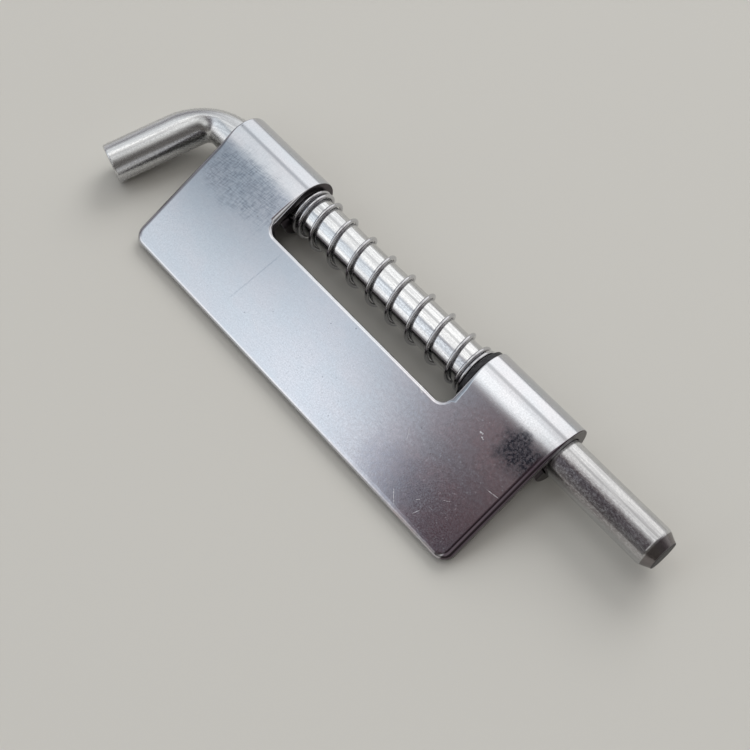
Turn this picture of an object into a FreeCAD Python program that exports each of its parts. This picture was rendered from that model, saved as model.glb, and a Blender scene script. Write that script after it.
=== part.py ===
import FreeCAD, Part
import os
from math import asin, atan2, ceil, cos, degrees, hypot, pi, radians, sin, sqrt, tan

# Spring loaded door hinge: a weld-on leaf with two rolled knuckles, a bent spring pin,
# its compression spring and the retaining ring that the spring pushes against.
#
# Millimetres. X runs along the pin towards its chamfered tip, Z is up from the surface that
# the hinge lies on, and the leaf slopes down towards -Y. The origin is on the pin's axis, at
# the outer end face of the tip-side knuckle.

# Rod and its fit in the knuckles
rodDiameter = 6.0
boreClearance = 0.10

# Leaf
sheet = 1.5
leafLength = 66.0
leafWidth = 25.1
handleKnuckle = 15.1
tipKnuckle = 14.8
windowMargin = 1.6
windowCorner = 1.6
leafCorner = 2.0
curlSweep = 292.0
shearedBreak = 0.28
burrBreak = 0.10

# Pin beyond the leaf, at the tip and at the handle
tipReach = 18.0
tipTaperLength = 1.7
tipTaperDepth = 0.8
bendOffset = 0.1
bendRadius = 8.4
bendInsideRadius = 4.0
bendTurn = 75.0
armLength = 10.3
armEdge = 0.3

# Retaining ring in its groove
ringThickness = 0.7
ringRadius = 4.25
ringGap = 84.0
ringEdge = 0.10
grooveDepth = 0.4
grooveClearance = 0.05
stopClearance = 0.10

# Spring
wireDiameter = 0.6
wireFlats = 6
springClearance = 0.12
springSeat = 0.05
closedSpace = 0.08
springTurns = 11.9
handleClosedTurns = 0.6
handleRampTurns = 3.0
tipRampTurns = 1.6
tipClosedTurns = 1.1
firstCoilAngle = -90.0
pointsPerTurn = 16

# How near a point must lie to count as on an edge or a face
near = 0.01

# Worked-out sizes
rodRadius = rodDiameter / 2
boreRadius = rodRadius + boreClearance
knuckleRadius = boreRadius + sheet
leafReach = leafWidth - knuckleRadius
windowReach = knuckleRadius + windowMargin
handleEnd = -leafLength
windowStart = handleEnd + handleKnuckle
windowEnd = -tipKnuckle
ringTipFace = windowEnd - stopClearance
ringHandleFace = ringTipFace - ringThickness
grooveRadius = rodRadius - grooveDepth
coilRadius = rodRadius + springClearance + wireDiameter / 2

# The wire's section has flats, set out so that its area is that of the round wire
wireCorner = wireDiameter / 2 * sqrt(2 * pi / (wireFlats * sin(2 * pi / wireFlats)))

# The knuckles and the free edge of the leaf rest on the surface, so the leaf slopes
leafSlope = degrees(atan2(boreRadius, leafReach) + asin(knuckleRadius / hypot(leafReach, boreRadius)))

# The handle hangs down until its end rests on the same surface
armReach = bendRadius * (1 - cos(radians(bendTurn))) + armLength * sin(radians(bendTurn))
armDroop = degrees(asin((knuckleRadius - rodRadius) / armReach))

xAxis = FreeCAD.Vector(1, 0, 0)
yAxis = FreeCAD.Vector(0, 1, 0)
zAxis = FreeCAD.Vector(0, 0, 1)
origin = FreeCAD.Vector(0, 0, 0)


def onCircle(x, radius, angle):
    """The point of a circle about the pin's axis, with the angle from +Y towards +Z."""
    return FreeCAD.Vector(x, radius * cos(radians(angle)), radius * sin(radians(angle)))


def leafSection():
    """The folded sheet's section at the handle end: a flat strip that curls down round the pin."""
    x = handleEnd
    curlEnd = 90 - curlSweep
    curlMiddle = 90 - curlSweep / 2
    topFree = FreeCAD.Vector(x, -leafReach, knuckleRadius)
    topTangent = onCircle(x, knuckleRadius, 90)
    underFree = FreeCAD.Vector(x, -leafReach, boreRadius)
    underTangent = onCircle(x, boreRadius, 90)
    outerEnd = onCircle(x, knuckleRadius, curlEnd)
    innerEnd = onCircle(x, boreRadius, curlEnd)
    edges = [
        Part.LineSegment(topFree, topTangent).toShape(),
        Part.Arc(topTangent, onCircle(x, knuckleRadius, curlMiddle), outerEnd).toShape(),
        Part.LineSegment(outerEnd, innerEnd).toShape(),
        Part.Arc(innerEnd, onCircle(x, boreRadius, curlMiddle), underTangent).toShape(),
        Part.LineSegment(underTangent, underFree).toShape(),
        Part.LineSegment(underFree, topFree).toShape(),
    ]
    return Part.Face(Part.Wire(edges))


def uprightEdges(shape, x, y):
    """The edges across the sheet's thickness at one corner of the flat part."""
    found = []
    for edge in shape.Edges:
        ends = [vertex.Point for vertex in edge.Vertexes]
        atCorner = all(abs(p.x - x) < near and abs(p.y - y) < near for p in ends)
        if atCorner:
            found.append(edge)
    return found


def faceOutline(shape, radius):
    """The cut edges that bound the sheet's outer face (knuckleRadius) or inner face (boreRadius)."""
    found = []
    for edge in shape.Edges:
        parameters = [edge.FirstParameter, (edge.FirstParameter + edge.LastParameter) / 2, edge.LastParameter]
        first, middle, last = [edge.valueAt(parameter) for parameter in parameters]
        onFace = True
        for p in (first, middle, last):
            flat = p.y <= near and abs(p.z - radius) < near
            curled = abs(hypot(p.y, p.z) - radius) < near
            onFace = onFace and (flat or curled)
        alongPin = abs(first.y - last.y) < near and abs(first.z - last.z) < near
        seam = alongPin and abs(middle.y) < near
        curlLip = alongPin and middle.z < boreRadius - near
        if onFace and not seam and not curlLip:
            found.append(edge)
    return found


def windowCutter():
    """The block that opens the window between the knuckles, with its two inner corners rounded."""
    reach = 2 * leafWidth
    corner = FreeCAD.Vector(windowStart, -windowReach, -reach / 2)
    block = Part.makeBox(windowEnd - windowStart, reach, reach, corner)
    rounded = []
    for edge in block.Edges:
        middle = edge.CenterOfMass
        if abs(middle.y + windowReach) < near and abs(middle.z) < near:
            rounded.append(edge)
    return block.makeFillet(windowCorner, rounded)


def makeLeaf():
    """The leaf: one sheet with both knuckles, its window, rounded corners and broken edges."""
    body = leafSection().extrude(xAxis * leafLength)
    body = body.cut(windowCutter())
    free = uprightEdges(body, handleEnd, -leafReach) + uprightEdges(body, 0, -leafReach)
    body = body.makeFillet(leafCorner, free)
    body = body.makeChamfer(shearedBreak, faceOutline(body, knuckleRadius))
    body = body.makeChamfer(burrBreak, faceOutline(body, boreRadius))
    body.rotate(origin, xAxis, leafSlope)
    return body


def bentRod(start, radius):
    """A rod through the handle's bend. A radius under bendRadius leaves it straight at both ends."""
    turn = radians(bendTurn)
    straight = (bendRadius - radius) * tan(turn / 2)
    first = FreeCAD.Vector(start - straight, 0, 0)
    centre = first - yAxis * radius
    section = Part.Face(Part.Wire(Part.makeCircle(rodRadius, first, xAxis)))
    rod = section.revolve(centre, zAxis, bendTurn)
    if straight > 0:
        last = centre + FreeCAD.Vector(-sin(turn), cos(turn), 0) * radius
        direction = FreeCAD.Vector(-cos(turn), -sin(turn), 0)
        before = Part.makeCylinder(rodRadius, straight, first, xAxis)
        after = Part.makeCylinder(rodRadius, straight, last, direction)
        rod = rod.fuse([before, after])
    return rod


def makePin():
    """The pin: one bent rod with a tapered tip, a ring groove and an angled handle."""
    tip = tipReach
    taper = tip - tipTaperLength
    start = handleEnd - bendOffset
    grooveTip = ringTipFace + grooveClearance
    grooveHandle = ringHandleFace - grooveClearance
    profile = [
        (start, 0), (start, rodRadius),
        (grooveHandle, rodRadius), (grooveHandle, grooveRadius),
        (grooveTip, grooveRadius), (grooveTip, rodRadius),
        (taper, rodRadius), (tip, rodRadius - tipTaperDepth), (tip, 0),
    ]
    points = [FreeCAD.Vector(x, r, 0) for x, r in profile]
    outline = Part.makePolygon(points + points[:1])
    straight = Part.Face(outline).revolve(origin, xAxis, 360)

    # The bend and the arm are made towards -Y, then turned down to the surface. The bend keeps
    # its wide radius outside, while the press has nipped its inside to the tighter one.
    bend = bentRod(start, bendRadius).common(bentRod(start, bendInsideRadius))
    turn = radians(bendTurn)
    direction = FreeCAD.Vector(-cos(turn), -sin(turn), 0)
    armStart = FreeCAD.Vector(start - bendRadius * sin(turn), -bendRadius * (1 - cos(turn)), 0)
    arm = Part.makeCylinder(rodRadius, armLength, armStart, direction)
    armEnd = armStart + direction * armLength
    endEdges = [edge for edge in arm.Edges if edge.CenterOfMass.distanceToPoint(armEnd) < near]
    arm = arm.makeChamfer(armEdge, endEdges)
    handle = bend.fuse(arm)
    handle.rotate(origin, xAxis, armDroop)
    return straight.fuse(handle).removeSplitter()


def makeRing():
    """The retaining ring: a flat C that snaps into the pin's groove, with its gap downwards."""
    inner = grooveRadius + grooveClearance
    half = (360 - ringGap) / 2
    x = ringHandleFace
    ends = (90 - half, 90 + half)
    outerArc = Part.Arc(onCircle(x, ringRadius, ends[0]), onCircle(x, ringRadius, 90),
                        onCircle(x, ringRadius, ends[1]))
    innerArc = Part.Arc(onCircle(x, inner, ends[1]), onCircle(x, inner, 90), onCircle(x, inner, ends[0]))
    edges = [
        outerArc.toShape(),
        Part.LineSegment(onCircle(x, ringRadius, ends[1]), onCircle(x, inner, ends[1])).toShape(),
        innerArc.toShape(),
        Part.LineSegment(onCircle(x, inner, ends[0]), onCircle(x, ringRadius, ends[0])).toShape(),
    ]
    ring = Part.Face(Part.Wire(edges)).extrude(xAxis * ringThickness)
    rims = []
    for edge in ring.Edges:
        middle = edge.valueAt((edge.FirstParameter + edge.LastParameter) / 2)
        curved = edge.Curve.TypeId == "Part::GeomCircle"
        if curved and abs(hypot(middle.y, middle.z) - ringRadius) < near:
            rims.append(edge)
    return ring.makeChamfer(ringEdge, rims)


def springAdvance(turn, activePitch):
    """How far the wire has moved along X after some turns: closed, opening, even, closing, closed."""
    closedPitch = wireDiameter + closedSpace
    rise = activePitch - closedPitch
    activeTurns = springTurns - handleClosedTurns - handleRampTurns - tipRampTurns - tipClosedTurns
    advance = closedPitch * turn

    def ramp(passed, length):
        passed = min(max(passed, 0), length)
        return passed / 2 - length / (2 * pi) * sin(pi * passed / length)

    opened = turn - handleClosedTurns
    advance += rise * ramp(opened, handleRampTurns)
    even = opened - handleRampTurns
    advance += rise * min(max(even, 0), activeTurns)
    closing = min(max(even - activeTurns, 0), tipRampTurns)
    advance += rise * (closing - ramp(closing, tipRampTurns))
    return advance


def wireSection(centre, along):
    """The wire's section where the coil starts, square to the wire, with one corner turned outwards."""
    outwards = FreeCAD.Vector(0, centre.y, centre.z).normalize()
    across = along.cross(outwards).normalize()
    corners = []
    for i in range(wireFlats + 1):
        angle = 2 * pi * i / wireFlats
        corners.append(centre + outwards * wireCorner * cos(angle) + across * wireCorner * sin(angle))
    return Part.makePolygon(corners)


def makeSpring():
    """The compression spring: a right-hand coil with closed ends, from knuckle to ring."""
    first = windowStart + springSeat + wireDiameter / 2
    last = ringHandleFace - springSeat - wireDiameter / 2
    length = last - first
    closedPitch = wireDiameter + closedSpace
    rampTurns = (handleRampTurns + tipRampTurns) / 2
    activeTurns = springTurns - handleClosedTurns - handleRampTurns - tipRampTurns - tipClosedTurns
    rise = (length - closedPitch * springTurns) / (activeTurns + rampTurns)
    count = ceil(springTurns * pointsPerTurn)
    points = []
    for i in range(count + 1):
        turn = springTurns * i / count
        x = first + springAdvance(turn, closedPitch + rise)
        points.append(onCircle(x, coilRadius, firstCoilAngle + 360 * turn))
    path = Part.BSplineCurve()
    path.interpolate(points)
    edge = path.toShape()
    section = wireSection(edge.valueAt(edge.FirstParameter), edge.tangentAt(edge.FirstParameter))
    return Part.Wire(edge).makePipeShell([section], True, True)


def save(name, shape):
    """Writes one node and prints what it holds."""
    solids = shape.Solids
    if len(solids) == 1:
        shape = solids[0]
    shape.exportStep("parts/" + name + ".step")
    box = shape.BoundBox
    print(name, "solids", len(solids), "valid", shape.isValid(), "volume", round(shape.Volume, 2),
          "box", [round(v, 2) for v in (box.XMin, box.YMin, box.ZMin, box.XMax, box.YMax, box.ZMax)])


os.makedirs("parts", exist_ok=True)
save("leaf", makeLeaf())
save("pin", makePin())
save("ring", makeRing())
save("spring", makeSpring())
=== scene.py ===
from math import asin, atan2, cos, degrees, hypot, pi, radians, sin, tan
import bpy
from mathutils import Matrix, Vector


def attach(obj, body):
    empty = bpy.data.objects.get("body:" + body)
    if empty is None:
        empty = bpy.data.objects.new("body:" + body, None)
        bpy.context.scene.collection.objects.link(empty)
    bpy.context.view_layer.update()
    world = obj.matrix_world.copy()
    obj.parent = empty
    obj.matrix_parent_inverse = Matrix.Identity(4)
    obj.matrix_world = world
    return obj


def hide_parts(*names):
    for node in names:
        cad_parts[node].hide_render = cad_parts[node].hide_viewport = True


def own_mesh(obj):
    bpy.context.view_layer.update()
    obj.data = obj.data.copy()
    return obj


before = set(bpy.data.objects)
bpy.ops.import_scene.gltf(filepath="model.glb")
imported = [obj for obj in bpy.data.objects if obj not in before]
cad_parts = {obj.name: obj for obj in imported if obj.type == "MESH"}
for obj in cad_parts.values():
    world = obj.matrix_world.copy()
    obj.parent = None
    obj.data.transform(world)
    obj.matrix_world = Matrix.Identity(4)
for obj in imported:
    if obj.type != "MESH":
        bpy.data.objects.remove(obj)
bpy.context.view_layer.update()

# Spring loaded door hinge: rolled leaf, bent pin, coil spring and the ring in the pin's groove.
# Sizes are in millimetres and become metres where a mesh is made. X runs along the pin to its
# tapered tip, Z is up from the floor, and the leaf slopes down towards -Y.

mm = 0.001
tiny = 1e-6


def feed(tree, value, socket):
    # a socket is linked, anything else is written on the input
    if isinstance(value, bpy.types.NodeSocket):
        tree.links.new(value, socket)
    else:
        socket.default_value = value


def feedInputs(tree, node, values):
    # each input is found by its label, in small letters and without spaces
    for label, value in values.items():
        wanted = next(s for s in node.inputs if s.name.replace(" ", "").lower() == label.lower())
        feed(tree, value, wanted)
    return node.outputs


def useNode(tree, kind, **values):
    return feedInputs(tree, tree.nodes.new(kind), values)


def useGroup(tree, group, **values):
    node = tree.nodes.new("ShaderNodeGroup")
    node.node_tree = group
    return feedInputs(tree, node, values)


def calc(tree, operation, first, second=0.0):
    node = tree.nodes.new("ShaderNodeMath")
    node.operation = operation
    feed(tree, first, node.inputs[0])
    feed(tree, second, node.inputs[1])
    return node.outputs[0]


def add(tree, first, second):
    return calc(tree, "ADD", first, second)


def subtract(tree, first, second):
    return calc(tree, "SUBTRACT", first, second)


def divide(tree, first, second):
    return calc(tree, "DIVIDE", first, second)


def multiply(tree, first, *others):
    for other in others:
        first = calc(tree, "MULTIPLY", first, other)
    return first


def rampTo(tree, value, low, high, outLow=0.0, outHigh=1.0):
    # maps low..high smoothly to outLow..outHigh, held at both ends
    node = tree.nodes.new("ShaderNodeMapRange")
    node.interpolation_type = "SMOOTHSTEP"
    for socket, number in zip(node.inputs, (value, low, high, outLow, outHigh)):
        feed(tree, number, socket)
    return node.outputs[0]


def blendColour(tree, share, first, second):
    node = tree.nodes.new("ShaderNodeMix")
    node.data_type = "RGBA"
    for index, value in ((0, share), (6, first), (7, second)):
        feed(tree, value, node.inputs[index])
    return node.outputs[2]


def noiseOf(tree, position, scale, detail=2.0, rough=0.55):
    return useNode(tree, "ShaderNodeTexNoise", vector=position, scale=scale,
                   detail=detail, roughness=rough)[0]


def joinPlace(tree, x, y, z):
    return useNode(tree, "ShaderNodeCombineXYZ", x=x, y=y, z=z)[0]


def splitPlace(tree, position):
    # the three parts of a place, in millimetres
    parts = useNode(tree, "ShaderNodeSeparateXYZ", vector=position)
    return [multiply(tree, part, 1 / mm) for part in parts]


def turnPlace(tree, across, up, turn):
    # the same place, measured along and off a line at an angle
    turnCos, turnSin = calc(tree, "COSINE", turn), calc(tree, "SINE", turn)
    along = add(tree, multiply(tree, across, turnCos), multiply(tree, up, turnSin))
    off = subtract(tree, multiply(tree, up, turnCos), multiply(tree, across, turnSin))
    return along, off


def newGroup(name, inputs, outputs):
    # an effect that reads a place and plain numbers, and puts out masks or heights
    group = bpy.data.node_groups.new(name, "ShaderNodeTree")
    group.interface.new_socket("Position", in_out="INPUT", socket_type="NodeSocketVector")
    for label, value in inputs.items():
        socket = group.interface.new_socket(label, in_out="INPUT", socket_type="NodeSocketFloat")
        socket.default_value = value
    for label in outputs:
        group.interface.new_socket(label, in_out="OUTPUT", socket_type="NodeSocketFloat")
    given = group.nodes.new("NodeGroupInput").outputs
    out = group.nodes.new("NodeGroupOutput").inputs
    return group, given, out


def fromCentre(group, given):
    # how far a place is from the effect's centre
    across, up, _ = splitPlace(group, given["Position"])
    return subtract(group, across, given["Centre X"]), subtract(group, up, given["Centre Y"])


def makePlateGrain():
    # fine speckle of a zinc plated or drawn surface, longer along the first axis by Stretch
    group, given, out = newGroup("plateGrain", {"Grain Size": 0.2, "Stretch": 2.0}, ["Speckle", "Height"])
    perGrain = divide(group, 1 / mm, given["Grain Size"])
    along = divide(group, perGrain, given["Stretch"])
    scaled = group.nodes.new("ShaderNodeVectorMath")
    scaled.operation = "MULTIPLY"
    feed(group, given["Position"], scaled.inputs[0])
    feed(group, joinPlace(group, along, perGrain, perGrain), scaled.inputs[1])
    grain = noiseOf(group, scaled.outputs[0], scale=0.5, detail=3.0, rough=0.6)
    feed(group, rampTo(group, grain, low=0.34, high=0.66), out["Speckle"])
    feed(group, grain, out["Height"])
    return group


def makeWornPatch():
    # an oval patch with a ragged rim, broken up into cells
    group, given, out = newGroup("wornPatch", {
        "Centre X": 0.0, "Centre Y": 0.0, "Half Length": 5.0, "Half Width": 3.0,
        "Cell": 0.5, "Broken": 0.6}, ["Mask"])
    ragged = 1.1
    across, up = fromCentre(group, given)
    across = divide(group, across, given["Half Length"])
    up = divide(group, up, given["Half Width"])
    away = calc(group, "SQRT", add(group, multiply(group, across, across), multiply(group, up, up)))
    cloud = noiseOf(group, given["Position"], scale=0.45 / mm)
    away = add(group, away, multiply(group, subtract(group, cloud, 0.5), ragged))
    oval = rampTo(group, away, low=1.1, high=0.45)
    perCell = divide(group, 1 / mm, given["Cell"])
    cells = noiseOf(group, given["Position"], perCell, detail=3.0, rough=0.65)
    missing = multiply(group, given["Broken"], rampTo(group, cells, low=0.62, high=0.36))
    feed(group, multiply(group, oval, subtract(group, 1.0, missing)), out["Mask"])
    return group


def makeHairlines():
    # many faint straight hairlines that all run one way
    group, given, out = newGroup("hairlines", {
        "Turn": 0.0, "Length": 2.0, "Width": 0.12, "Sparse": 0.62}, ["Mask"])
    softness = 0.09
    across, up, _ = splitPlace(group, given["Position"])
    along, off = turnPlace(group, across, up, given["Turn"])
    along, off = divide(group, along, given["Length"]), divide(group, off, given["Width"])
    lines = noiseOf(group, joinPlace(group, along, off, given["Turn"]), scale=0.6, detail=1.0)
    full = add(group, given["Sparse"], softness)
    feed(group, rampTo(group, lines, given["Sparse"], full), out["Mask"])
    return group


def makePits():
    # sparse small round specks
    group, given, out = newGroup("pits", {"Apart": 1.4, "Size": 0.12, "Share": 0.4}, ["Mask"])
    perCell = divide(group, 1 / mm, given["Apart"])
    cells = useNode(group, "ShaderNodeTexVoronoi", vector=given["Position"], scale=perCell)
    chance = useNode(group, "ShaderNodeSeparateColor", color=cells["Color"])
    size = divide(group, multiply(group, given["Size"], chance[1]), given["Apart"])
    speck = calc(group, "LESS_THAN", cells["Distance"], size)
    kept = calc(group, "LESS_THAN", chance[0], given["Share"])
    feed(group, multiply(group, speck, kept), out["Mask"])
    return group


def makeScratch():
    # one thin straight scratch that wanders, fades at its ends and skips a little
    group, given, out = newGroup("scratch", {
        "Centre X": 0.0, "Centre Y": 0.0, "Turn": 0.0, "Length": 3.0, "Width": 0.12}, ["Mask"])
    wandering, fading = 0.16, 0.4
    along, off = turnPlace(group, *fromCentre(group, given), given["Turn"])
    wander = subtract(group, noiseOf(group, given["Position"], scale=1.2 / mm, detail=1.0), 0.5)
    off = calc(group, "ABSOLUTE", add(group, off, multiply(group, wander, wandering)))
    line = rampTo(group, off, given["Width"], 0.0)
    half = multiply(group, given["Length"], 0.5)
    left = subtract(group, half, calc(group, "ABSOLUTE", along))
    ends = rampTo(group, left, 0.0, multiply(group, half, fading))
    gaps = noiseOf(group, given["Position"], scale=3.5 / mm, detail=1.0)
    skip = rampTo(group, gaps, low=0.3, high=0.55, outLow=0.35)
    feed(group, multiply(group, line, ends, skip), out["Mask"])
    return group


plateGrain = makePlateGrain()
wornPatch = makeWornPatch()
scratch = makeScratch()
hairlines = makeHairlines()
pits = makePits()
print("shared effects made")


def grainOf(tree, place, size, stretch):
    return useGroup(tree, plateGrain, position=place, grainSize=size, stretch=stretch)


def maskOf(tree, group, place, values):
    return useGroup(tree, group, position=place, **values)["Mask"]


def scratchOf(tree, place, x, y, turn, length, width):
    return useGroup(tree, scratch, position=place, centreX=x, centreY=y,
                    turn=radians(turn), length=length, width=width)["Mask"]


def surfacePosition(tree, name):
    # a place along, across and into the surface, so a pattern follows bends and curls
    node = tree.nodes.new("ShaderNodeAttribute")
    node.attribute_name = name
    return node.outputs["Vector"]


def newMetal(name, s, metallic=1.0):
    material = bpy.data.materials.new(name)
    material.use_nodes = True
    tree = material.node_tree
    shader = tree.nodes["Principled BSDF"]
    # plain values, for a viewer that leaves the patterns out
    shader.inputs["Base Color"].default_value = (*s["tones"][0], 1)
    shader.inputs["Roughness"].default_value = s["rough"][0]
    shader.inputs["Metallic"].default_value = metallic
    return material, tree, shader


def finishMetal(tree, shader, s, between, grain, height, masks):
    # The tone lies between the piece's two tones, and each of its layers, a colour and how
    # strong it is, is laid over it where that layer's mask says. The roughness follows the
    # grain and is raised in the same way.
    first, second = s["tones"]
    tone = blendColour(tree, between, (*first, 1), (*second, 1))
    for label, (colour, strength) in s.get("layers", {}).items():
        tone = blendColour(tree, multiply(tree, masks[label], strength), tone, (*colour, 1))
    rough = rampTo(tree, grain, 0, 1, *s["rough"])
    for label, amount in s.get("rougher", {}).items():
        rough = add(tree, rough, multiply(tree, masks[label], amount))
    depth, strength = s["bump"]
    normal = useNode(tree, "ShaderNodeBump", height=height, distance=depth * mm, strength=strength)
    tree.links.new(tone, shader.inputs["Base Color"])
    tree.links.new(rough, shader.inputs["Roughness"])
    tree.links.new(normal[0], shader.inputs["Normal"])


def outwardOf(way, side):
    return Vector((way.y, -way.x)) * side


def cornerArc(before, here, after, radius, steps, side):
    # the points and outward directions of one rounded corner
    wayIn, wayOut = (here - before).normalized(), (after - here).normalized()
    outIn, outOut = outwardOf(wayIn, side), outwardOf(wayOut, side)
    bulge = 1 if (wayIn.x * wayOut.y - wayIn.y * wayOut.x) * side > 0 else -1
    sweep = outIn.angle(outOut)
    centre = here - (outIn + outOut).normalized() * (bulge * radius / cos(sweep / 2))
    arc = []
    for k in range(steps + 1):
        share = k / steps
        out = (outIn * sin((1 - share) * sweep) + outOut * sin(share * sweep)) / sin(sweep)
        arc.append((centre + out * (bulge * radius), out))
    return arc


def roundedLine(corners, closed, steps, side=1.0, stations=()):
    # Points and outward directions of a line whose corners (a, b, radius) are rounded.
    # Outward is to the right of the way round, or to the left with side -1. A straight
    # run along b also gets a point at each of the stations.
    count = len(corners)
    spots = [Vector((a, b)) for a, b, _ in corners]
    runs = []
    for i, (_, _, radius) in enumerate(corners):
        if closed or 0 < i < count - 1:
            after = spots[(i + 1) % count]
            runs.append(cornerArc(spots[i - 1], spots[i], after, radius, steps, side))
        else:
            way = spots[1] - spots[0] if i == 0 else spots[-1] - spots[-2]
            runs.append([(spots[i], outwardOf(way.normalized(), side))])
    line = []
    for i, arc in enumerate(runs):
        line += arc
        if i == count - 1 and not closed:
            break
        start, end = arc[-1][0], runs[(i + 1) % count][0][0]
        if abs(start.x - end.x) < tiny:
            low, high = min(start.y, end.y), max(start.y, end.y)
            between = [s for s in stations if low + tiny < s < high - tiny]
            for s in sorted(between, reverse=start.y > end.y):
                line.append((Vector((start.x, s)), arc[-1][1]))
    return line


def makePiece(name, points, faces, normals, places, placeName):
    mesh = bpy.data.meshes.new(name)
    mesh.from_pydata([p * mm for p in points], [], faces)
    mesh.polygons.foreach_set("use_smooth", [True] * len(faces))
    place = mesh.attributes.new(placeName, "FLOAT_VECTOR", "POINT")
    place.data.foreach_set("vector", [c * mm for p in places for c in p])
    mesh.normals_split_custom_set_from_vertices([n.normalized() for n in normals])
    mesh.validate(clean_customdata=False)
    piece = bpy.data.objects.new(name, mesh)
    bpy.context.scene.collection.objects.link(piece)
    return piece


def turned(vector, angle):
    # turned about the X axis
    return Vector((vector.x, vector.y * cos(angle) - vector.z * sin(angle),
                   vector.y * sin(angle) + vector.z * cos(angle)))


leafSizes = {
    "length": 66.0, "reach": 20.5, "sheet": 1.5, "bore": 3.1,
    "tipKnuckle": 14.8, "handleKnuckle": 15.1, "window": 6.2, "sweep": 292.0,
    "corner": 2.0, "windowCorner": 1.6, "lipCorner": 1.1, "cornerSteps": 10,
    # the curl's steps in degrees, and the stretch over which the sheet starts to bend
    "curlStep": 4.0, "lipMargin": 0.3, "ease": 2.6,
    # The sheared edge is rolled over: how far in and how deep, and the share of it that is left
    # on a curl and at the window. It tightens from below the curl, over a stretch up the sheet.
    "rollReach": 0.95, "rollDepth": 0.55, "rollOnCurl": 0.14, "rollAtWindow": 0.48, "rollSteps": 8,
    "tightenBelow": 4.5, "tightenOver": 7.5,
    # a rim at a share of the sheet's thickness, and the burr on the far side
    "waist": 0.55, "burr": 0.12, "burrSteps": 3,
    # the finish: plain tones and roughness, bump depth and strength, and grains, size and stretch
    "tones": ((0.615, 0.640, 0.675), (0.650, 0.645, 0.672)), "rough": (0.075, 0.135),
    "bump": (0.004, 0.4), "grain": (0.085, 1.4), "clouds": (2.6, 1.8),
    # its layers in the order in which they are laid, a colour and how strong it is
    "layers": {
        "warm": ((0.690, 0.585, 0.600), 0.9), "cloudy": ((0.36, 0.37, 0.44), 0.55),
        "mottle": ((0.49, 0.455, 0.465), 1.0), "grain": ((0.52, 0.535, 0.57), 0.45),
        "hatch": ((0.46, 0.48, 0.53), 0.14), "worn": ((0.22, 0.25, 0.30), 0.66),
        "dark": ((0.035, 0.04, 0.058), 0.97), "specks": ((0.24, 0.25, 0.27), 0.6),
        "oldScratch": ((0.34, 0.37, 0.42), 0.40), "scratches": ((0.82, 0.82, 0.82), 1.0),
        # the first layer below is a painted dark reflection on the rolled edges at both ends of the leaf
        "ends": ((0.085, 0.062, 0.078), 0.95), "cut": ((0.155, 0.14, 0.15), 1.0),
        # the last layer above and the one below are painted shade: on the cut faces and the underside, and
        # deeper inside the curls
        "curl": ((0.075, 0.065, 0.07), 1.0),
    },
    "rougher": {"scratches": 0.26, "glints": 0.07, "dark": 0.08, "cut": 0.22},
    "patches": {
        "worn": {"centreX": 7.5, "centreY": 16.6, "halfLength": 9.5, "halfWidth": 4.8,
                 "cell": 0.9, "broken": 0.30},
        "dark": {"centreX": 62.7, "centreY": 17.0, "halfLength": 4.0, "halfWidth": 3.2,
                 "cell": 0.42, "broken": 0.50},
        "cloudy": {"centreX": 52.5, "centreY": 3.6, "halfLength": 6.0, "halfWidth": 4.2,
                   "cell": 0.7, "broken": 0.45},
    },
    "hatching": [{"turn": 0.12, "length": 0.9, "width": 0.11, "sparse": 0.47},
                 {"turn": 1.45, "length": 0.8, "width": 0.11, "sparse": 0.47}],
    "specks": {"apart": 1.5, "size": 0.13, "share": 0.35},
    "glints": {"apart": 0.42, "size": 0.12, "share": 0.7},
    "warmGrain": (2.1, 1.2), "mottleGrain": (0.26, 1.2),
    # ramps, each from one place to another and some with the values there: along the leaf from
    # its handle end, up the sheet past the curl's start, and into the sheet
    "warmAlong": (42.0, 60.0), "mottleAlong": (34.0, 54.0, 0.10, 0.55),
    "handleRim": (1.4, 1.0, 0.0, 0.5), "tipRim": (64.85, 65.15),
    "flatUp": (-1.0, -4.0), "rimUp": (-0.5, -3.0), "curlUp": (0.0, 1.5),
    "rolledIn": (0.001, 0.014), "cutIn": (0.38, 0.52),
    # single scratches: along the leaf, up the leaf, turn in degrees, length, width
    "oldScratch": (18.7, 8.6, 83.0, 11.5, 0.20),
    "scratches": [
        (55.0, 1.6, -42, 2.4, 0.07), (64.2, 11.0, 8, 2.4, 0.07), (57.4, 15.5, 8, 0.7, 0.16),
        (58.6, 2.4, 70, 1.3, 0.05), (46.0, 16.2, -30, 1.6, 0.06), (24.0, 4.0, -20, 3.0, 0.035),
        (57.6, 3.6, 50, 0.8, 0.035), (60.5, 6.2, 35, 1.4, 0.025), (50.5, 8.6, -58, 1.8, 0.03),
        (47.4, 14.0, -35, 1.5, 0.20), (58.0, 15.1, -24, 0.6, 0.14),
    ],
}


def leafPlaces(s):
    # what follows from the sizes, on the flat sheet: X along the pin, Y up from the free edge
    outer = s["bore"] + s["sheet"]
    return {
        "outer": outer, "lip": s["reach"] + radians(s["sweep"]) * outer,
        "slope": atan2(s["bore"], s["reach"]) + asin(outer / hypot(s["reach"], s["bore"])),
        "windowStart": -s["length"] + s["handleKnuckle"], "windowEnd": -s["tipKnuckle"],
    }


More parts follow.
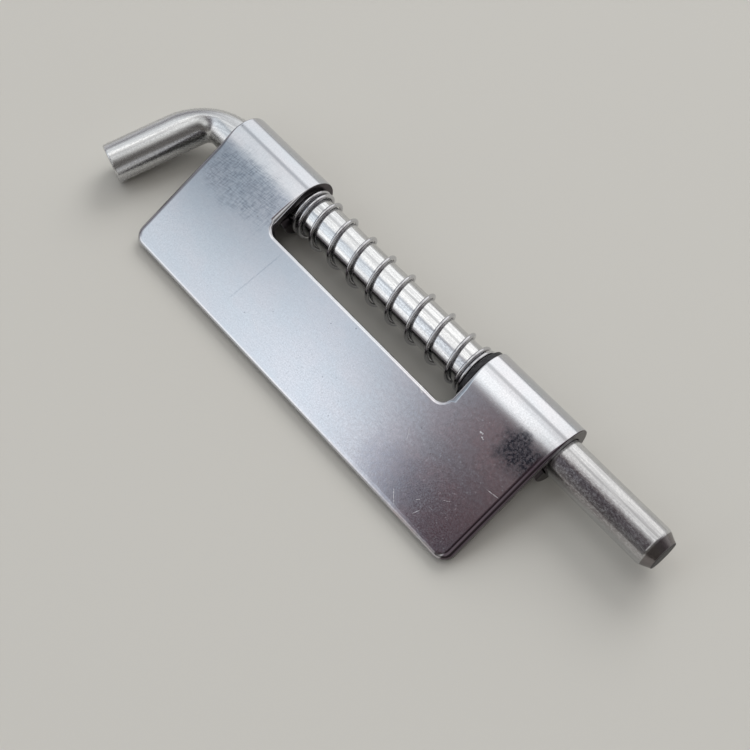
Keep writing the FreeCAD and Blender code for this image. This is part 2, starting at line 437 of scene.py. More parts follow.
def leafOutline(s, at):
    # the flat sheet's outline, and the heights at which it has a point for each step of the curl
    length, lip, foot = s["length"], at["lip"], s["reach"] - s["window"]
    start, end = at["windowStart"], at["windowEnd"]
    corners = [
        (-length, 0, s["corner"]), (0, 0, s["corner"]), (0, lip, s["lipCorner"]),
        (end, lip, s["lipCorner"]), (end, foot, s["windowCorner"]),
        (start, foot, s["windowCorner"]), (start, lip, s["lipCorner"]), (-length, lip, s["lipCorner"]),
    ]
    first = s["reach"] - s["ease"]
    last = lip - s["lipCorner"] - s["lipMargin"]
    count = round((last - first) / (radians(s["curlStep"]) * at["outer"]))
    stations = [first + (last - first) * i / count for i in range(count + 1)]
    return roundedLine(corners, True, s["cornerSteps"], 1.0, stations), stations


def leafRims(s):
    # the edge's section: how far in and how deep each rim is, and its normal up and outward
    rims = []
    for k in range(s["rollSteps"] + 1):
        a = radians(90 * k / s["rollSteps"])
        level = Vector((cos(a) / s["rollDepth"], sin(a) / s["rollReach"])).normalized()
        rims.append((s["rollReach"] * (1 - sin(a)), s["rollDepth"] * (1 - cos(a)), level.x, level.y))
    rims.append((0.0, s["sheet"] * s["waist"], 0.0, 1.0))
    for k in range(s["burrSteps"] + 1):
        a = radians(90 * k / s["burrSteps"])
        rims.append((s["burr"] * (1 - cos(a)), s["sheet"] - s["burr"] * (1 - sin(a)), -sin(a), cos(a)))
    return rims


def rollShare(spot, s, at):
    # the roll gets tighter from the flat leaf towards the curls, and round the window
    share = min(max((spot.y - s["reach"] + s["tightenBelow"]) / s["tightenOver"], 0), 1)
    tight = 1 - (1 - s["rollOnCurl"]) * share * share * (3 - 2 * share)
    atWindow = at["windowStart"] < spot.x < at["windowEnd"] and spot.y > s["corner"]
    return tight * s["rollAtWindow"] if atWindow else tight


def curled(past, depth, outer):
    # where a place of the flat sheet goes: the point, the outward way and the way along, in Y and Z
    if past <= 0:
        return Vector((past, outer - depth)), Vector((0, 1)), Vector((1, 0))
    angle = pi / 2 - past / outer
    outward = Vector((cos(angle), sin(angle)))
    return outward * (outer - depth), outward, Vector((sin(angle), -cos(angle)))


def eased(past, ease, outer, level, along):
    # the sheet starts to bend a little before its curl, so its shine leans towards the curl there
    if abs(past) >= ease:
        return level, along
    lean = (past + ease) ** 2 / (4 * ease * outer) - max(past, 0) / outer
    return level * cos(lean) + along * sin(lean), along * cos(lean) - level * sin(lean)


def leafFaces(line, stations, rimCount, s, at):
    # strips between the rims, then both sides of the sheet, in strips up each knuckle's curl
    size = len(line)
    faces = []
    for k in range(rimCount - 1):
        for i in range(size):
            j = (i + 1) % size
            faces.append((k * size + i, (k + 1) * size + i, (k + 1) * size + j, k * size + j))
    across = {}
    for i, (spot, _) in enumerate(line):
        if any(abs(spot.y - station) < tiny for station in stations):
            across.setdefault(round(spot.x, 3), []).append((spot.y, i))
    ladders = {x: [i for _, i in sorted(steps)] for x, steps in across.items()}
    flat, curlStarts = [], []
    for fromX, toX in ((at["windowEnd"], 0.0), (-s["length"], at["windowStart"])):
        left, right = ladders[round(fromX, 3)], ladders[round(toX, 3)]
        for low, high, otherLow, otherHigh in zip(left, left[1:], right, right[1:]):
            flat.append((low, otherLow, otherHigh, high))
        curlStarts += [right[0], left[0]]
        # the last strip takes in the rounded lip
        flat.append(tuple(range(right[-1], left[-1] + 1)))
    tipUp, tipDown, handleUp, handleDown = curlStarts
    flat.append((*range(tipUp + 1), *range(tipDown, handleUp + 1), *range(handleDown, size)))
    base = (rimCount - 1) * size
    for face in flat:
        faces += [face, tuple(base + i for i in reversed(face))]
    return faces


def makeLeaf(s):
    at = leafPlaces(s)
    line, stations = leafOutline(s, at)
    rims = leafRims(s)
    points, normals, places = [], [], []
    for inset, depth, up, outward in rims:
        for spot, out in line:
            tight = rollShare(spot, s, at) if depth <= s["rollDepth"] else 1
            place = spot - out * (inset * tight)
            past = place.y - s["reach"]
            point, level, along = curled(past, depth * tight, at["outer"])
            level, along = eased(past, s["ease"], at["outer"], level, along)
            points.append(turned(Vector((place.x, *point)), at["slope"]))
            normal = Vector((out.x * outward, *(level * up + along * (out.y * outward))))
            normals.append(turned(normal, at["slope"]))
            places.append((place.x + s["length"], place.y, depth))
    faces = leafFaces(line, stations, len(rims), s, at)
    return makePiece("hingeLeaf", points, faces, normals, places, "sheetPlace")


def leafMasks(tree, place, grain, s):
    # where each layer of the leaf's finish lies
    along, up, depth = splitPlace(tree, place)
    past = subtract(tree, up, s["reach"])
    flat = rampTo(tree, past, *s["flatUp"])
    masks = {label: maskOf(tree, wornPatch, place, patch) for label, patch in s["patches"].items()}
    hatch = add(tree, *[maskOf(tree, hairlines, place, lines) for lines in s["hatching"]])
    masks["hatch"] = multiply(tree, hatch, 0.5)
    masks["worn"] = multiply(tree, masks["worn"], masks["hatch"])
    masks["specks"] = maskOf(tree, pits, place, s["specks"])
    masks["glints"] = maskOf(tree, pits, place, s["glints"])
    masks["grain"] = grain
    # the plating has a warm tint in clouds, and a mottle, towards the tip end
    warm = grainOf(tree, place, *s["warmGrain"])["Speckle"]
    masks["warm"] = multiply(tree, warm, rampTo(tree, along, *s["warmAlong"]), flat)
    mottle = grainOf(tree, place, *s["mottleGrain"])["Speckle"]
    masks["mottle"] = multiply(tree, mottle, rampTo(tree, along, *s["mottleAlong"]), flat)
    # a long faint scratch has gone dark, the others are bright
    masks["oldScratch"] = scratchOf(tree, place, *s["oldScratch"])
    masks["scratches"] = 0.0
    for line in s["scratches"]:
        mark = scratchOf(tree, place, *line)
        masks["scratches"] = calc(tree, "MAXIMUM", masks["scratches"], mark)
    # the rolled edge is painted darker at both ends of the leaf, and on the leaf itself a little beside it: a
    # painted dark reflection of the room
    rolled = rampTo(tree, depth, *s["rolledIn"])
    handleRim = multiply(tree, rampTo(tree, along, *s["handleRim"]), rolled)
    rolled = calc(tree, "MAXIMUM", rolled, rampTo(tree, past, *s["rimUp"]))
    tipRim = multiply(tree, rampTo(tree, along, *s["tipRim"]), rolled)
    masks["ends"] = calc(tree, "MAXIMUM", tipRim, handleRim)
    # painted shade on the cut faces and the underside, and a deeper painted shade on those of the curls
    masks["cut"] = rampTo(tree, depth, *s["cutIn"])
    masks["curl"] = multiply(tree, masks["cut"], rampTo(tree, past, *s["curlUp"]))
    return masks


def makeLeafMetal(s):
    material, tree, shader = newMetal("satinZincSheet", s)
    place = surfacePosition(tree, "sheetPlace")
    speckle, height = grainOf(tree, place, *s["grain"])
    clouds = grainOf(tree, place, *s["clouds"])["Speckle"]
    masks = leafMasks(tree, place, speckle, s)
    finishMetal(tree, shader, s, clouds, speckle, height, masks)
    return material


leaf = makeLeaf(leafSizes)
leaf.data.materials.append(makeLeafMetal(leafSizes))
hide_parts("leaf")
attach(leaf, "leaf_body")
print("leaf made", len(leaf.data.polygons), "faces")


pinSizes = {
    "rod": 3.0, "tip": 18.0, "taper": 1.7, "taperDepth": 0.8,
    "groove": (14.85, 15.65), "grooveDepth": 0.4,
    "bendStart": 66.1, "bendRadius": 8.4, "insideRadius": 4.0, "bendTurn": 75.0, "arm": 10.3,
    "floor": 4.6, "sides": 96, "bendStep": 2.0, "runUp": 8,
    # rounding of the corners
    "tipEdge": 0.10, "taperEdge": 0.7, "grooveEdge": 0.05, "endEdge": 0.32, "edgeSteps": 6,
    # the finish, as on the leaf
    "tones": ((0.74, 0.745, 0.75), (0.57, 0.575, 0.585)), "rough": (0.11, 0.19),
    "bump": (0.030, 0.6), "grain": (0.10, 1.5), "streak": (0.15, 24.0), "scale": (0.15, 1.5),
    "layers": {
        # the second layer is a painted dark reflection along the free end's upper near side
        "speckle": ((0.44, 0.44, 0.455), 1.0), "stain": ((0.25, 0.23, 0.24), 1.0),
        # both layers below are painted: the taper darker as a painted dark reflection, and painted shade on
        # the end face
        "taper": ((0.20, 0.18, 0.18), 0.9), "raw": ((0.07, 0.066, 0.066), 1.0),
    },
    "rougher": {"nearTip": 0.06, "handle": 0.10, "raw": 0.5},
    # the speckle and the bump's height, in the knuckles and on the free end
    "speckleShare": (0.30, 0.36), "heightShare": (0.16, 0.24),
    # Ramps: the painted dark reflection starts and stops at these degrees round the rod, grows along it from
    # the tip and is broken up in scales. The painted shade on the end face, the painted dark taper and the
    # handle also lie along the rod, the last two from the taper's and the bend's start.
    "stainStart": (76.0, 112.0), "stainStop": (172.0, 146.0), "stainAlong": (3.0, 9.0, 0.55, 0.92),
    "stainScale": (0.1, 0.7, 0.52, 1.0), "rawFace": (0.16, 0.06), "darkTaper": (-0.22, -0.34),
    "freeFrom": (2.0, -2.0), "nearTipFrom": (3.0, -3.0), "handleFrom": (-3.0, 2.0),
}


def rodRings(s):
    # distance from the tip, radius and outward direction of each ring of points along the rod
    rod, tip = s["rod"], s["tip"]
    straight = tip + s["bendStart"]
    whole = straight + s["bendRadius"] * radians(s["bendTurn"]) + s["arm"]
    core, edge = rod - s["grooveDepth"], s["grooveEdge"]
    grooveA, grooveB = tip + s["groove"][0], tip + s["groove"][1]
    corners = [
        (0, 0, 0), (0, rod - s["taperDepth"], s["tipEdge"]), (s["taper"], rod, s["taperEdge"]),
        (grooveA, rod, edge), (grooveA, core, edge), (grooveB, core, edge), (grooveB, rod, edge),
        (whole, rod, s["endEdge"]), (whole, 0, 0),
    ]
    line = roundedLine(corners, False, s["edgeSteps"], -1.0)
    rings = []
    for k, (spot, out) in enumerate(line):
        rings.append((spot.x, spot.y, out))
        if k + 1 < len(line) and spot.x < straight < line[k + 1][0].x:
            # the bend gets its own rings, with a few along the straight rod before it
            steps = round(s["bendTurn"] / s["bendStep"])
            bend = [straight + (whole - s["arm"] - straight) * i / steps for i in range(steps + 1)]
            before = [spot.x + (straight - spot.x) * i / s["runUp"] for i in range(1, s["runUp"])]
            rings += [(q, rod, Vector((0, 1))) for q in before + bend]
    return rings


def rodFrame(q, s):
    # centre, way along and level outward way of the rod at a distance from its tip
    straight = s["tip"] + s["bendStart"]
    if q <= straight:
        return Vector((s["tip"] - q, 0, 0)), Vector((-1, 0, 0)), Vector((0, 1, 0))
    turn = min((q - straight) / s["bendRadius"], radians(s["bendTurn"]))
    past = q - straight - s["bendRadius"] * turn
    way = Vector((-cos(turn), -sin(turn), 0))
    out = Vector((-sin(turn), cos(turn), 0))
    centre = Vector((-s["bendStart"], -s["bendRadius"], 0)) + out * s["bendRadius"]
    return centre + way * past, way, out


def nipped(spot, radial, normal, s):
    # Inside the bend the press has nipped the rod to a tighter radius: there the surface is
    # that of the same rod with the tighter bend, reached straight inwards from the wide bend.
    rounds, share, close, least = 24, 0.9, 1e-4, 1e-3
    rod, turn = s["rod"], radians(s["bendTurn"])
    straight = (s["bendRadius"] - s["insideRadius"]) * tan(turn / 2)
    hub = Vector((-s["bendStart"] - straight, -s["insideRadius"], 0))
    reach = 0.0
    for _ in range(rounds):
        at = spot - radial * reach
        swing = atan2(hub.x - at.x, at.y - hub.y)
        if swing <= 0:
            core = Vector((at.x, 0, 0))
        else:
            swing = min(swing, turn)
            core = hub + Vector((-sin(swing), cos(swing), 0)) * s["insideRadius"]
            way = Vector((-cos(swing), -sin(swing), 0))
            if swing == turn:
                core += way * max((at - core).dot(way), 0)
        away = (at - core).length
        if away <= rod + close:
            break
        reach += (away - rod) * share
    if reach < least:
        return spot, normal
    return at, (at - core).normalized()


def handleDroop(s):
    # how far the handle turns down until its end rests on the floor
    turn = radians(s["bendTurn"])
    side = s["bendRadius"] * (1 - cos(turn)) + s["arm"] * sin(turn)
    return asin((s["floor"] - s["rod"]) / side)


def makePin(s):
    rings = rodRings(s)
    droop, sides = handleDroop(s), s["sides"]
    bendStart = s["tip"] + s["bendStart"]
    bendEnd = rings[-1][0] - s["arm"]
    points, normals, places, firsts = [], [], [], []
    for q, radius, out in rings:
        centre, way, flatOut = rodFrame(q, s)
        firsts.append(len(points))
        for k in range(1 if radius < tiny else sides):
            a = 2 * pi * k / sides
            radial = flatOut * cos(a) + Vector((0, 0, 1)) * sin(a)
            normal = way * out.x + radial * out.y if radius > tiny else way * out.x
            spot = centre + radial * radius
            if bendStart < q < bendEnd:
                spot, normal = nipped(spot, radial, normal, s)
            points.append(turned(spot, droop))
            normals.append(turned(normal, droop))
            places.append((q, radius * cos(a), radius * sin(a)))
    faces = []
    for k in range(len(rings) - 1):
        a, b = firsts[k], firsts[k + 1]
        for i in range(sides):
            j = (i + 1) % sides
            if rings[k][1] < tiny:
                faces.append((a, b + i, b + j))
            elif rings[k + 1][1] < tiny:
                faces.append((a + i, b, a + j))
            else:
                faces.append((a + i, b + i, b + j, a + j))
    return makePiece("springPin", points, faces, normals, places, "rodPlace")


def pinMasks(tree, place, grain, free, s):
    # where each layer of the pin's finish lies
    fromTip, level, upright = splitPlace(tree, place)
    fromKnuckle = subtract(tree, fromTip, s["tip"])
    # the free end is painted dark along its upper near side: a painted dark reflection of the room
    around = calc(tree, "DEGREES", calc(tree, "ARCTAN2", upright, level))
    stain = multiply(tree, rampTo(tree, around, *s["stainStart"]), rampTo(tree, around, *s["stainStop"]))
    scale = grainOf(tree, place, *s["scale"])["Speckle"]
    return {
        "speckle": multiply(tree, grain, rampTo(tree, free, 0, 1, *s["speckleShare"])),
        "stain": multiply(tree, stain, rampTo(tree, fromTip, *s["stainAlong"]), free,
                          rampTo(tree, scale, *s["stainScale"])),
        # the taper is turned and painted darker, a painted dark reflection, and the end face gets painted
        # shade and is made dull and not metallic
        "taper": rampTo(tree, subtract(tree, fromTip, s["taper"]), *s["darkTaper"]),
        "raw": rampTo(tree, fromTip, *s["rawFace"]),
        # the spring keeps the stretch between the free end and the handle rubbed
        "nearTip": rampTo(tree, fromKnuckle, *s["nearTipFrom"]),
        "handle": rampTo(tree, subtract(tree, fromKnuckle, s["bendStart"]), *s["handleFrom"]),
    }


def makePinMetal(s):
    material, tree, shader = newMetal("drawnZincRod", s)
    place = surfacePosition(tree, "rodPlace")
    speckle, height = grainOf(tree, place, *s["grain"])
    streak = grainOf(tree, place, *s["streak"])["Speckle"]
    fromKnuckle = subtract(tree, splitPlace(tree, place)[0], s["tip"])
    free = rampTo(tree, fromKnuckle, *s["freeFrom"])
    masks = pinMasks(tree, place, speckle, free, s)
    height = multiply(tree, height, rampTo(tree, free, 0, 1, *s["heightShare"]))
    finishMetal(tree, shader, s, streak, speckle, height, masks)
    tree.links.new(subtract(tree, 1.0, masks["raw"]), shader.inputs["Metallic"])
    return material


pin = makePin(pinSizes)
pin.data.materials.append(makePinMetal(pinSizes))
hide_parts("pin")
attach(pin, "pin_body")
print("pin made", len(pin.data.polygons), "faces")


ringSizes = {
    "face": -15.6, "thick": 0.7, "inner": 2.65, "outer": 4.25, "gap": 84.0, "step": 3.0,
    "edge": 0.10, "edgeSteps": 4, "endEdge": 0.08, "endSteps": 5,
    "tones": ((0.028, 0.028, 0.031), (0.06, 0.06, 0.064)), "rough": (0.36, 0.5),
    "bump": (0.01, 0.4), "grain": (0.12, 2.0), "metallic": 0.8,
}


def makeRing(s):
    x0, x1, edge = s["face"], s["face"] + s["thick"], s["edge"]
    corners = [(x0, s["inner"], edge), (x1, s["inner"], edge),
               (x1, s["outer"], edge), (x0, s["outer"], edge)]
    line = roundedLine(corners, True, s["edgeSteps"])
    # the gap is on top; each slice has its angle, how far its section is drawn in, and its
    # normal's share outward and along
    top = 90
    half = (360 - s["gap"]) / 2
    steps = round(2 * half / s["step"])
    end = degrees(s["endEdge"] / s["outer"])
    front = []
    for k in range(s["endSteps"] + 1):
        a = radians(90 * k / s["endSteps"])
        front.append((top - half + end * (1 - cos(a)), s["endEdge"] * (1 - sin(a)), sin(a), -cos(a)))
    body = [(top - half + end + (2 * half - 2 * end) * k / steps, 0.0, 1.0, 0.0) for k in range(1, steps)]
    back = [(2 * top - angle, inset, outward, -along) for angle, inset, outward, along in reversed(front)]
    slices = front + body + back
    points, normals, places = [], [], []
    for angle, inset, outward, along in slices:
        radial = Vector((0, cos(radians(angle)), sin(radians(angle))))
        tangent = Vector((0, -radial.z, radial.y))
        for spot, out in line:
            at = spot - out * inset
            points.append(Vector((at.x, 0, 0)) + radial * at.y)
            normals.append((Vector((out.x, 0, 0)) + radial * out.y) * outward + tangent * along)
            places.append((radians(angle) * at.y, at.x, at.y))
    size, count = len(line), len(slices)
    faces = []
    for k in range(count - 1):
        for i in range(size):
            j = (i + 1) % size
            faces.append((k * size + i, k * size + j, (k + 1) * size + j, (k + 1) * size + i))
    faces.append(tuple(reversed(range(size))))
    faces.append(tuple((count - 1) * size + i for i in range(size)))
    return makePiece("retainingRing", points, faces, normals, places, "ringPlace")


def makeRingMetal(s):
    material, tree, shader = newMetal("blackOxideRing", s, s["metallic"])
    speckle, height = grainOf(tree, surfacePosition(tree, "ringPlace"), *s["grain"])
    finishMetal(tree, shader, s, speckle, speckle, height, {})
    return material


ring = makeRing(ringSizes)
ring.data.materials.append(makeRingMetal(ringSizes))
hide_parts("ring")
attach(ring, "ring_body")
print("ring made", len(ring.data.polygons), "faces")


springSizes = {
    # the inputs of the coil's node tree; its closed ends and ramps are in turns
    "coil": {
        "Wire": 0.6, "Coil Radius": 3.42, "Turns": 11.9, "First": -50.55, "Last": -15.95,
        "Closed Pitch": 0.68, "Handle Closed": 0.6, "Handle Ramp": 3.0,
        "Tip Ramp": 1.6, "Tip Closed": 1.1, "Start Angle": -90.0, "Points": 760, "Sides": 16,
    },
    "tones": ((0.64, 0.64, 0.66), (0.52, 0.52, 0.54)), "rough": (0.03, 0.10),
    "bump": (0.001, 0.3), "grain": (0.06, 1.0),
}


def held(tree, value, most):
    return calc(tree, "MINIMUM", calc(tree, "MAXIMUM", value, 0.0), most)


def rampedWay(tree, passed, length):
    # the way gained while the pitch opens smoothly over a number of turns
    passed = held(tree, passed, length)
    wave = calc(tree, "SINE", divide(tree, multiply(tree, passed, pi), length))
    swing = multiply(tree, divide(tree, length, 2 * pi), wave)
    return subtract(tree, multiply(tree, passed, 0.5), swing)


def coilPlace(tree, given, share):
    # where the wire's centre line is at a share of its turns
    turn = multiply(tree, share, given["Turns"])
    ramps = add(tree, given["Handle Ramp"], given["Tip Ramp"])
    closed = add(tree, given["Handle Closed"], given["Tip Closed"])
    even = subtract(tree, subtract(tree, given["Turns"], ramps), closed)
    length = subtract(tree, given["Last"], given["First"])
    spare = subtract(tree, length, multiply(tree, given["Closed Pitch"], given["Turns"]))
    rise = divide(tree, spare, add(tree, even, multiply(tree, ramps, 0.5)))
    opened = subtract(tree, turn, given["Handle Closed"])
    evenPast = subtract(tree, opened, given["Handle Ramp"])
    closing = held(tree, subtract(tree, evenPast, even), given["Tip Ramp"])
    gained = add(tree, rampedWay(tree, opened, given["Handle Ramp"]), held(tree, evenPast, even))
    gained = add(tree, gained, subtract(tree, closing, rampedWay(tree, closing, given["Tip Ramp"])))
    along = add(tree, given["First"], multiply(tree, given["Closed Pitch"], turn))
    along = add(tree, along, multiply(tree, rise, gained))
    angle = calc(tree, "RADIANS", add(tree, given["Start Angle"], multiply(tree, turn, 360.0)))
    radius = multiply(tree, given["Coil Radius"], mm)
    level = multiply(tree, radius, calc(tree, "COSINE", angle))
    upright = multiply(tree, radius, calc(tree, "SINE", angle))
    return joinPlace(tree, multiply(tree, along, mm), level, upright)


def makeSpringTree(s, material):
    tree = bpy.data.node_groups.new("closedEndCoil", "GeometryNodeTree")
    sockets = tree.interface
    sockets.new_socket("Geometry", in_out="INPUT", socket_type="NodeSocketGeometry")
    for label, value in s["coil"].items():
        kind = "NodeSocketInt" if isinstance(value, int) else "NodeSocketFloat"
        sockets.new_socket(label, in_out="INPUT", socket_type=kind)
    sockets.new_socket("Geometry", in_out="OUTPUT", socket_type="NodeSocketGeometry")
    given = tree.nodes.new("NodeGroupInput").outputs
    sink = tree.nodes.new("NodeGroupOutput").inputs
    # a straight line of points is laid along the coil and swept with the wire's section
    line = useNode(tree, "GeometryNodeCurvePrimitiveLine")[0]
    line = useNode(tree, "GeometryNodeResampleCurve", curve=line, count=given["Points"])[0]
    place = coilPlace(tree, given, useNode(tree, "GeometryNodeSplineParameter")["Factor"])
    line = useNode(tree, "GeometryNodeSetPosition", geometry=line, position=place)[0]
    radius = multiply(tree, given["Wire"], mm / 2)
    section = useNode(tree, "GeometryNodeCurvePrimitiveCircle", resolution=given["Sides"], radius=radius)[0]
    wire = useNode(tree, "GeometryNodeCurveToMesh", curve=line, profileCurve=section, fillCaps=True)[0]
    # the cut ends stay flat, the rest of the wire is smooth: its faces have four corners
    corners = useNode(tree, "GeometryNodeInputMeshFaceNeighbors")["Vertex Count"]
    sweptFace = calc(tree, "LESS_THAN", corners, 4.5)
    wire = useNode(tree, "GeometryNodeSetShadeSmooth", geometry=wire, selection=sweptFace)[0]
    wire = useNode(tree, "GeometryNodeRealizeInstances", geometry=wire)[0]
    wire = useNode(tree, "GeometryNodeSetMaterial", geometry=wire, material=material)[0]
    tree.links.new(wire, sink[0])
    return tree


def makeSpringMetal(s):
    material, tree, shader = newMetal("drawnSpringWire", s)
    place = useNode(tree, "ShaderNodeTexCoord")["Object"]
    speckle, height = grainOf(tree, place, *s["grain"])
    finishMetal(tree, shader, s, speckle, speckle, height, {})
    return material


def makeSpring(s, material):
    holder = bpy.data.objects.new("coilSpring", bpy.data.meshes.new("coilSeed"))
    bpy.context.scene.collection.objects.link(holder)
    modifier = holder.modifiers.new("coil", "NODES")
    modifier.node_group = makeSpringTree(s, material)
    for item in modifier.node_group.interface.items_tree:
        if item.in_out == "INPUT" and item.name in s["coil"]:
            modifier[item.identifier] = s["coil"][item.name]
    evaluated = holder.evaluated_get(bpy.context.evaluated_depsgraph_get())
    mesh = bpy.data.meshes.new_from_object(evaluated)
    holder.modifiers.remove(modifier)
    holder.data = mesh
    mesh.name = "coilSpring"
    return holder


springMetal = makeSpringMetal(springSizes)
spring = makeSpring(springSizes, springMetal)
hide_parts("spring")
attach(spring, "leaf_body")
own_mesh(spring)
print("spring made", len(spring.data.polygons), "faces")


studio = {
    "floorHeight": -4.62, "floorSize": 6.0, "floorColour": (0.62, 0.605, 0.565),
    "floorRough": 0.75, "floorShine": 0.25,
    "backdrop": (0.52, 0.51, 0.48),
    # the room's two end walls, and how far a direction points along X where they begin and are full
    "endWall": (0.66, 0.66, 0.67), "endWallFrom": (0.89, 0.95),
    # The room is painted in bands round the X axis, from the far side (0) over the top (90) to
    # the near side (180). A band holds from its first angle to its second, and its stops run
    # along X: how far the direction points along X, and the light there.
    "bands": [
        (-40, 4, [(-0.84, (0.40, 0.39, 0.39)), (-0.74, (0.55, 0.55, 0.54)), (0.46, (0.50, 0.49, 0.48)),
                  (0.60, (0.16, 0.14, 0.15))]),
        (14, 51, [(-0.84, (0.34, 0.33, 0.35)), (-0.74, (0.85, 0.86, 0.87)), (-0.50, (1.15, 1.17, 1.18)),
                  (-0.38, (1.44, 1.44, 1.42)), (-0.22, (1.50, 1.48, 1.45)), (-0.17, (1.02, 1.00, 0.98)),
                  (0.46, (0.80, 0.79, 0.78)), (0.60, (0.12, 0.10, 0.11))]),
        (59, 63, [(-0.84, (0.34, 0.33, 0.35)), (-0.74, (0.70, 0.71, 0.72)), (-0.48, (0.64, 0.66, 0.68)),
                  (-0.40, (1.00, 1.00, 1.00)), (-0.34, (1.00, 1.00, 0.99)), (-0.22, (0.80, 0.79, 0.78)),
                  (-0.16, (0.62, 0.60, 0.59)), (0.46, (0.70, 0.69, 0.68)), (0.60, (0.12, 0.10, 0.11))]),
        (70, 76, [(-0.84, (0.34, 0.33, 0.35)), (-0.74, (0.95, 0.97, 0.98)), (-0.49, (1.02, 1.04, 1.05)),
                  (-0.40, (1.40, 1.40, 1.38)), (-0.23, (1.30, 1.28, 1.26)), (-0.19, (0.86, 0.85, 0.84)),
                  (-0.10, (0.84, 0.83, 0.82)), (-0.03, (1.05, 1.05, 1.04)), (0.12, (1.10, 1.10, 1.08)),
                  (0.30, (0.62, 0.61, 0.59)), (0.52, (0.13, 0.12, 0.12))]),
        (82, 88, [(-0.84, (0.34, 0.33, 0.35)), (-0.74, (0.95, 0.97, 0.98)), (-0.49, (1.02, 1.04, 1.05)),
                  (-0.40, (1.50, 1.50, 1.48)), (-0.23, (1.56, 1.54, 1.50)), (-0.19, (1.05, 1.04, 1.02)),
                  (-0.12, (1.04, 1.03, 1.02)), (-0.05, (1.15, 1.15, 1.14)), (0.14, (1.15, 1.16, 1.14)),
                  (0.32, (0.66, 0.65, 0.63)), (0.54, (0.13, 0.12, 0.12))]),
        (93, 95, [(-0.90, (0.22, 0.20, 0.22)), (-0.82, (0.80, 0.82, 0.84)), (-0.49, (1.00, 1.02, 1.03)),
                  (-0.40, (1.50, 1.50, 1.48)), (-0.23, (1.56, 1.54, 1.50)), (-0.195, (0.60, 0.59, 0.58)),
                  (-0.08, (0.60, 0.59, 0.58)), (0.00, (1.10, 1.10, 1.09)), (0.16, (1.15, 1.16, 1.14)),
                  (0.34, (0.68, 0.67, 0.65)), (0.56, (0.13, 0.12, 0.12))]),
        (112, 113, [(-0.90, (0.15, 0.12, 0.15)), (-0.82, (0.30, 0.33, 0.36)), (-0.51, (0.34, 0.40, 0.46)),
                    (-0.47, (0.50, 0.56, 0.62)), (-0.40, (0.80, 0.86, 0.93)), (-0.36, (0.84, 0.89, 0.96)),
                    (-0.305, (0.60, 0.62, 0.67)), (-0.282, (0.46, 0.46, 0.50)), (-0.26, (0.28, 0.25, 0.27)),
                    (-0.215, (0.19, 0.14, 0.145)), (-0.04, (0.16, 0.145, 0.145)), (0.06, (0.85, 0.85, 0.84)),
                    (0.20, (0.95, 0.95, 0.93)), (0.58, (0.15, 0.14, 0.13))]),
        (118, 144, [(-0.90, (0.15, 0.12, 0.15)), (-0.82, (0.85, 0.90, 0.95)), (-0.48, (1.02, 1.09, 1.15)),
                    (-0.38, (1.24, 1.31, 1.38)), (-0.328, (1.14, 1.20, 1.27)), (-0.303, (0.78, 0.82, 0.90)),
                    (-0.281, (0.26, 0.25, 0.29)), (-0.262, (0.10, 0.070, 0.085)), (-0.04, (0.06, 0.05, 0.05)),
                    (0.06, (0.80, 0.80, 0.79)), (0.36, (0.85, 0.85, 0.83)), (0.50, (0.14, 0.13, 0.12))]),
        (152, 164, [(-0.90, (0.18, 0.16, 0.19)), (-0.82, (0.95, 0.98, 1.02)), (-0.40, (1.50, 1.51, 1.51)),
                    (-0.32, (1.20, 1.22, 1.25)), (-0.24, (0.20, 0.18, 0.18)), (-0.16, (0.05, 0.045, 0.045)),
                    (0.10, (0.30, 0.29, 0.28)), (0.30, (0.13, 0.12, 0.11))]),
        (174, 200, [(-0.80, (0.70, 0.70, 0.70)), (-0.30, (0.60, 0.59, 0.58)), (-0.18, (0.10, 0.09, 0.09)),
                    (0.30, (0.14, 0.13, 0.12))]),
    ],
    # The band edges lean this much along X with each degree, about an angle. The lean comes in
    # over some degrees and has a least value.
    "lean": -0.005, "leanAbout": 115.0, "leanIn": (100.0, 110.0), "leanLeast": -0.03,
    # the soft box: where it aims, the way to it, how far it is, its size in metres and strength
    "boxAim": (-30, -3, 0), "boxWay": (-0.30, 0.80, 0.62), "boxAway": 1.6,
    "boxSize": (1.0, 0.8), "boxStrength": 3.7,
    # the camera, solved from the photograph's perspective
    "lens": 63.264, "sensor": 36.0, "clip": (0.005, 20.0),
    "cameraPlace": (34.352, -61.503, 157.496),
    "cameraForward": (-0.33640, 0.29092, -0.89566), "cameraRight": (0.65982, 0.75141, -0.00375),
}


def makeFloor(s):
    half = s["floorSize"] / 2
    z = s["floorHeight"] * mm
    corners = [(-half, -half, z), (half, -half, z), (half, half, z), (-half, half, z)]
    mesh = bpy.data.meshes.new("floor")
    mesh.from_pydata(corners, [], [(0, 1, 2, 3)])
    floor = bpy.data.objects.new("floor", mesh)
    bpy.context.scene.collection.objects.link(floor)
    material = bpy.data.materials.new("plainFloor")
    material.use_nodes = True
    shader = material.node_tree.nodes["Principled BSDF"]
    shader.inputs["Base Color"].default_value = (*s["floorColour"], 1)
    shader.inputs["Roughness"].default_value = s["floorRough"]
    shader.inputs["Specular IOR Level"].default_value = s["floorShine"]
    mesh.materials.append(material)


def makeBand(tree, along, stops):
    # one band of the room, a colour ramp along X
    node = tree.nodes.new("ShaderNodeValToRGB")
    tree.links.new(along, node.inputs[0])
    elements = node.color_ramp.elements
    node.color_ramp.interpolation = "LINEAR"
    while len(elements) < len(stops):
        elements.new(0.5)
    for element, (x, colour) in zip(elements, stops):
        element.position = (x + 1) / 2
        element.color = (*colour, 1)
    return node.outputs[0]


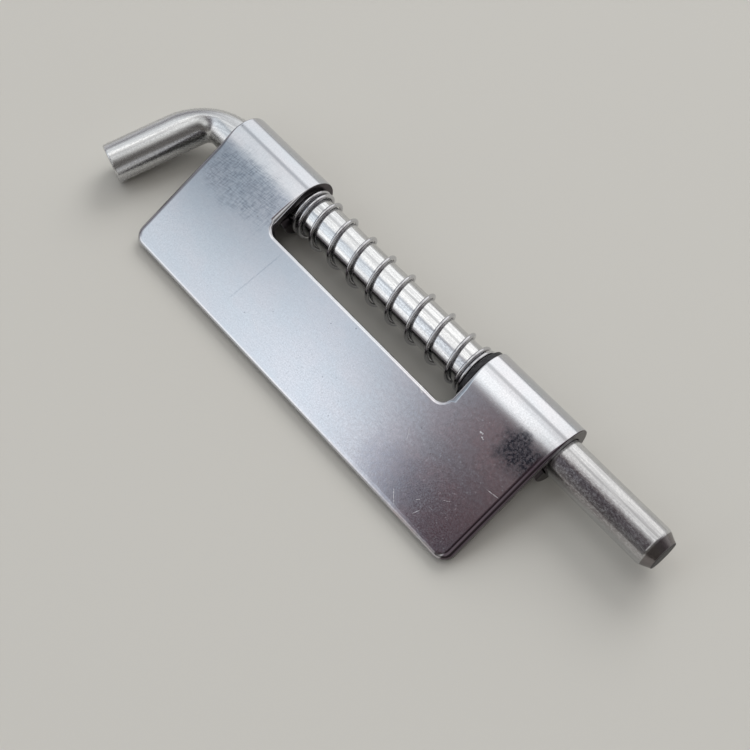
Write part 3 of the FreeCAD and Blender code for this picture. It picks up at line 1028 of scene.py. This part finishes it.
def makeWorld(s):
    # a pale room with bright soft boxes overhead and at the near left, dark at the near right
    world = bpy.data.worlds.new("paleRoom")
    bpy.context.scene.world = world
    world.use_nodes = True
    tree = world.node_tree
    tree.nodes.clear()
    way = useNode(tree, "ShaderNodeTexCoord")["Generated"]
    dx, dy, dz = useNode(tree, "ShaderNodeSeparateXYZ", vector=way)
    height = calc(tree, "DEGREES", calc(tree, "ARCTAN2", dz, dy))
    leaning = multiply(tree, subtract(tree, height, s["leanAbout"]), s["lean"])
    leaning = multiply(tree, leaning, rampTo(tree, height, *s["leanIn"]))
    leaning = calc(tree, "MAXIMUM", leaning, s["leanLeast"])
    along = multiply(tree, add(tree, add(tree, dx, leaning), 1.0), 0.5)
    colour = makeBand(tree, along, s["bands"][0][2])
    for (_, end, _), (start, _, stops) in zip(s["bands"], s["bands"][1:]):
        share = rampTo(tree, height, end, start)
        colour = blendColour(tree, share, colour, makeBand(tree, along, stops))
    wall = rampTo(tree, calc(tree, "ABSOLUTE", dx), *s["endWallFrom"])
    colour = blendColour(tree, wall, colour, (*s["endWall"], 1))
    seen = useNode(tree, "ShaderNodeLightPath")["Is Camera Ray"]
    colour = blendColour(tree, seen, colour, (*s["backdrop"], 1))
    light = useNode(tree, "ShaderNodeBackground", color=colour)[0]
    useNode(tree, "ShaderNodeOutputWorld", surface=light)


def makeBox(s):
    # a soft box that throws the hinge's shadow; the metal mirrors only the painted room
    width, height = s["boxSize"]
    way = Vector(s["boxWay"]).normalized()
    light = bpy.data.lights.new("farBox", "AREA")
    light.shape = "RECTANGLE"
    light.size, light.size_y = width, height
    light.energy = s["boxStrength"] * pi * width * height
    box = bpy.data.objects.new("farBox", light)
    box.rotation_mode = "QUATERNION"
    box.rotation_quaternion = way.to_track_quat("Z", "Y")
    box.location = Vector(s["boxAim"]) * mm + way * s["boxAway"]
    box.visible_glossy = False
    bpy.context.scene.collection.objects.link(box)


def makeCamera(s):
    camera = bpy.data.cameras.new("camera")
    camera.sensor_width = s["sensor"]
    camera.lens = s["lens"]
    camera.clip_start, camera.clip_end = s["clip"]
    holder = bpy.data.objects.new("camera", camera)
    bpy.context.scene.collection.objects.link(holder)
    back = -Vector(s["cameraForward"]).normalized()
    up = back.cross(Vector(s["cameraRight"])).normalized()
    turn = Matrix((up.cross(back), up, back)).transposed()
    place = Matrix.Translation(Vector(s["cameraPlace"]) * mm)
    holder.matrix_world = place @ turn.to_4x4()
    bpy.context.scene.camera = holder


makeFloor(studio)
makeWorld(studio)
makeBox(studio)
makeCamera(studio)
bpy.context.scene.view_settings.view_transform = "Standard"
print("studio made")
